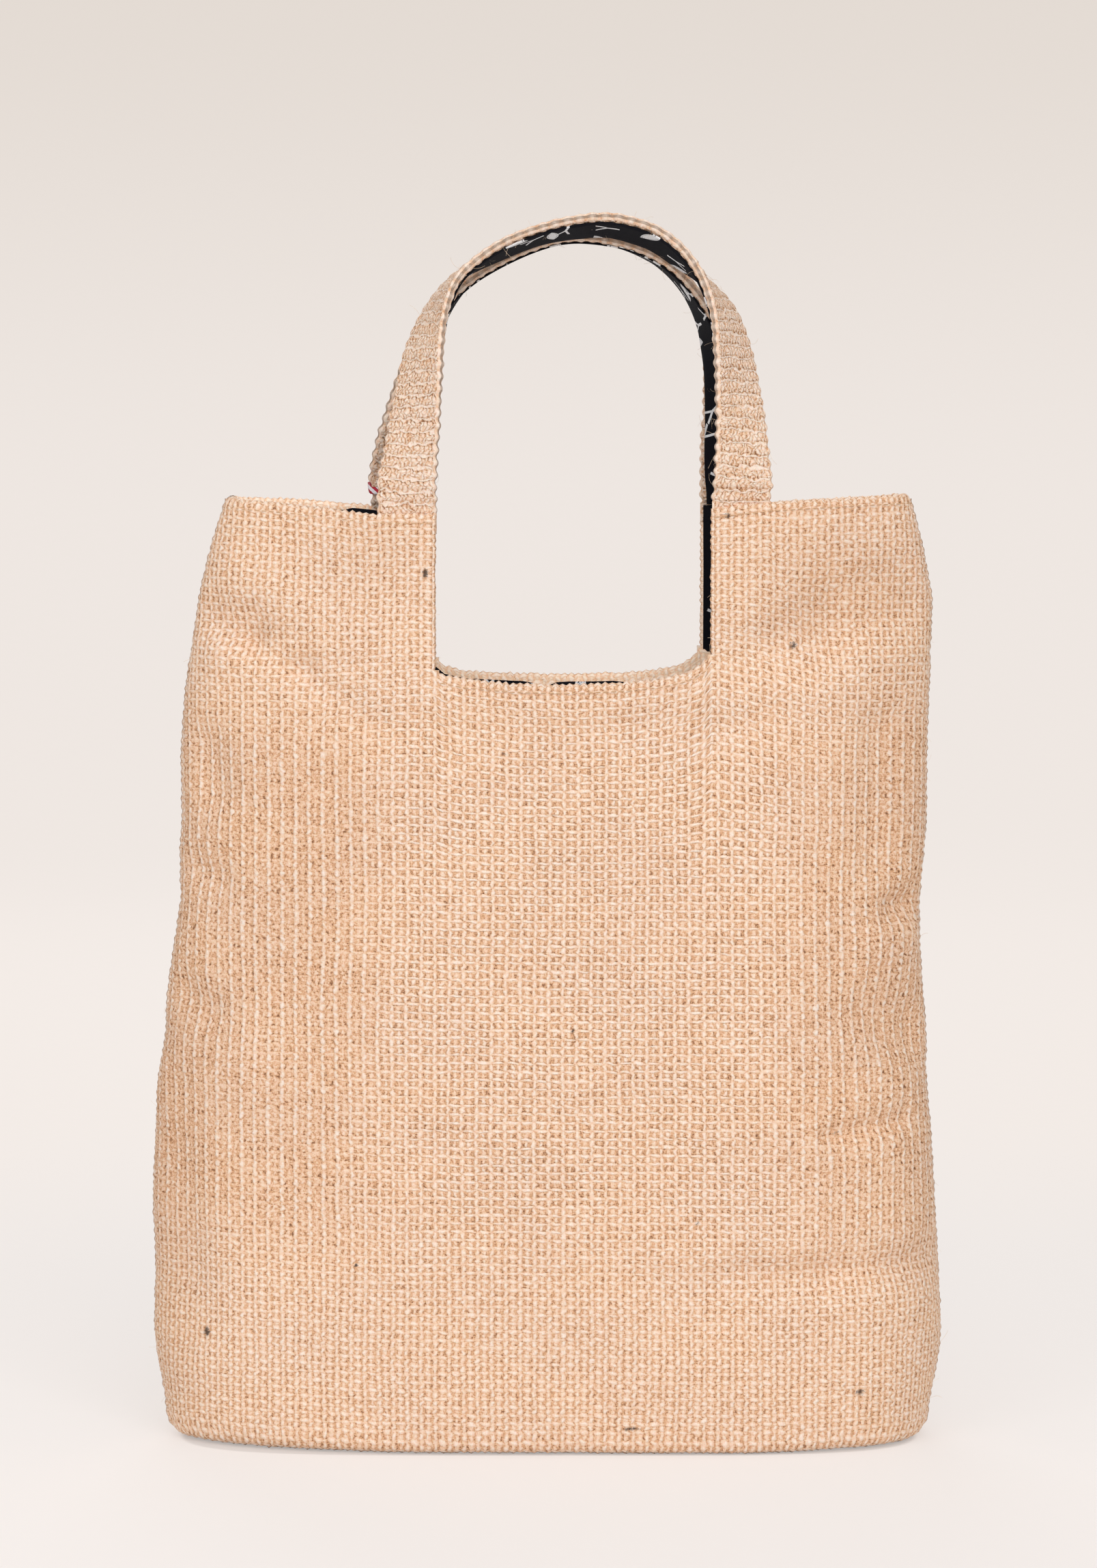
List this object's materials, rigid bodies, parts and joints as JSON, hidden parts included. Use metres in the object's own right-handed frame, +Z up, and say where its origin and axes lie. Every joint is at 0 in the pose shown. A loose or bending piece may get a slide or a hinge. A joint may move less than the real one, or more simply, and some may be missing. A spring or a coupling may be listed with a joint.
{
  "type": "tote bag",
  "caption": "Open-topped woven jute beach bag, standing on its base, with a cut-out rim, two lined carrying straps and a dark printed lining.",
  "frame": {"origin": "the middle of the base, on the flat underside that the bag stands on", "axes": "+Z up from the base to the straps; +Y from the front panel to the back panel; +X to the right across the width, seen from the front"},
  "size_m": [0.4021, 0.1239, 0.6223],
  "materials": {
    "jute": "coarse plain weave of natural jute yarn, matte and hairy",
    "dark_cotton": "near-black printed cotton, matte",
    "striped_tape": "red and white striped woven tape"
  },
  "bodies": {
    "root": {"front_panel": "jute", "back_panel": "jute", "base_panel": "jute", "front_strap": "jute", "back_strap": "jute", "front_lining": "dark_cotton", "back_lining": "dark_cotton", "base_lining": "dark_cotton", "front_strap_lining": "dark_cotton", "back_strap_lining": "dark_cotton", "striped_tie": "striped_tape"}
  },
  "joints": []
}
